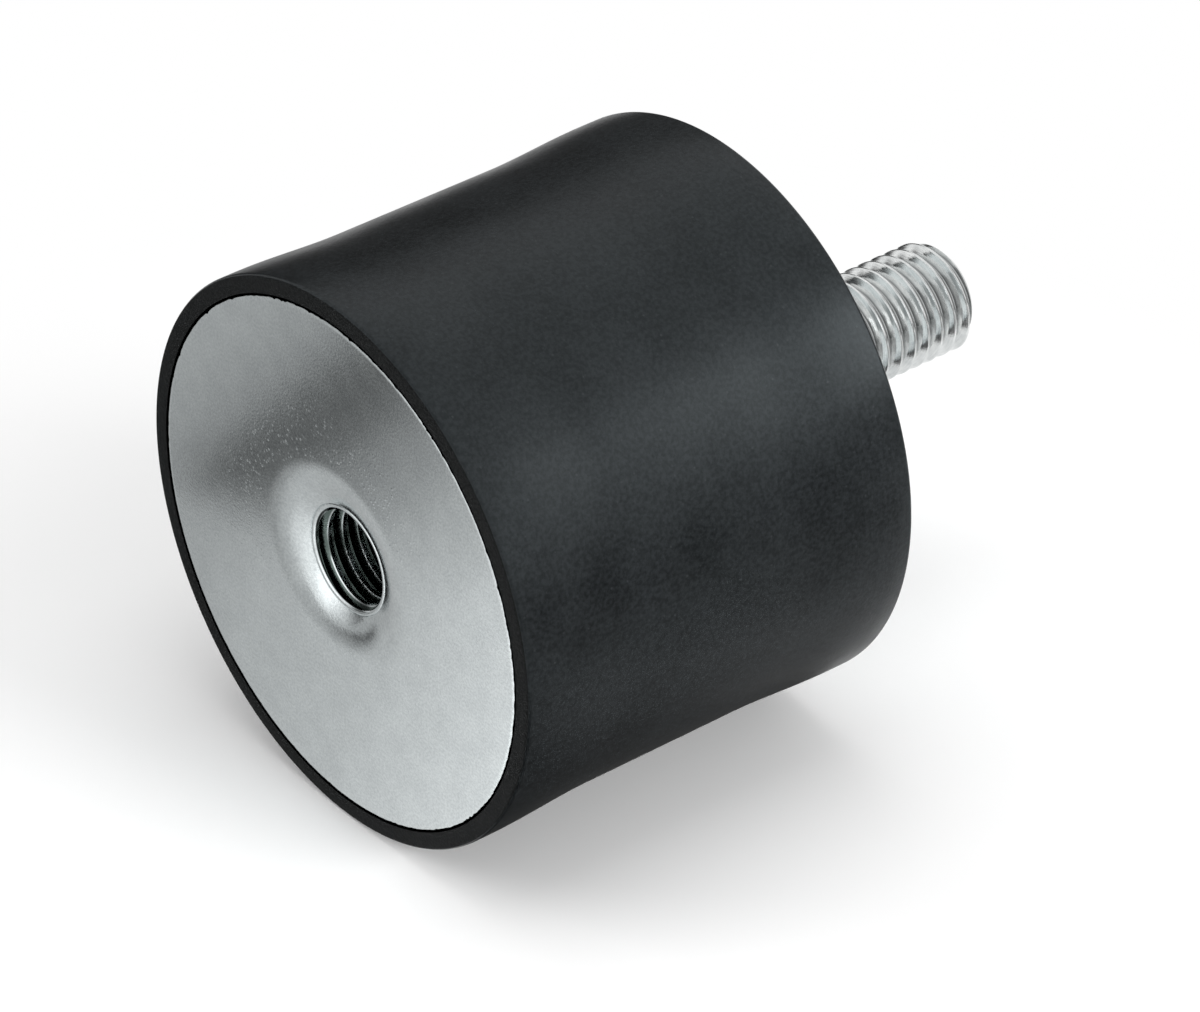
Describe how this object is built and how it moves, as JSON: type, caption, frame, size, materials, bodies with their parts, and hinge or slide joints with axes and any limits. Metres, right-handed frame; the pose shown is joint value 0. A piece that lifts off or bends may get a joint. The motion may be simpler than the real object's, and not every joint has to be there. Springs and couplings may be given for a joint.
{
  "type": "rubber buffer",
  "caption": "Cylindrical rubber buffer with a steel plate bonded into each end, a threaded socket in one end and a threaded stud on the other.",
  "frame": {"origin": "centre of the socket end's face, in the plane that the buffer stands on", "axes": "+Z along the buffer's axis, from the socket end to the stud's tip; X and Y lie in the socket end's face"},
  "size_m": [0.05, 0.05, 0.065],
  "materials": {
    "rubber": "satin moulded natural rubber with a faint cloudy bloom",
    "zinc_plate": "bright zinc over fine blasted steel",
    "zinc_stud": "bright zinc on a rolled thread"
  },
  "bodies": {
    "root": {"rubber_body": "rubber", "socket_plate": "zinc_plate", "stud_plate": "zinc_plate", "threaded_stud": "zinc_stud"}
  },
  "joints": []
}
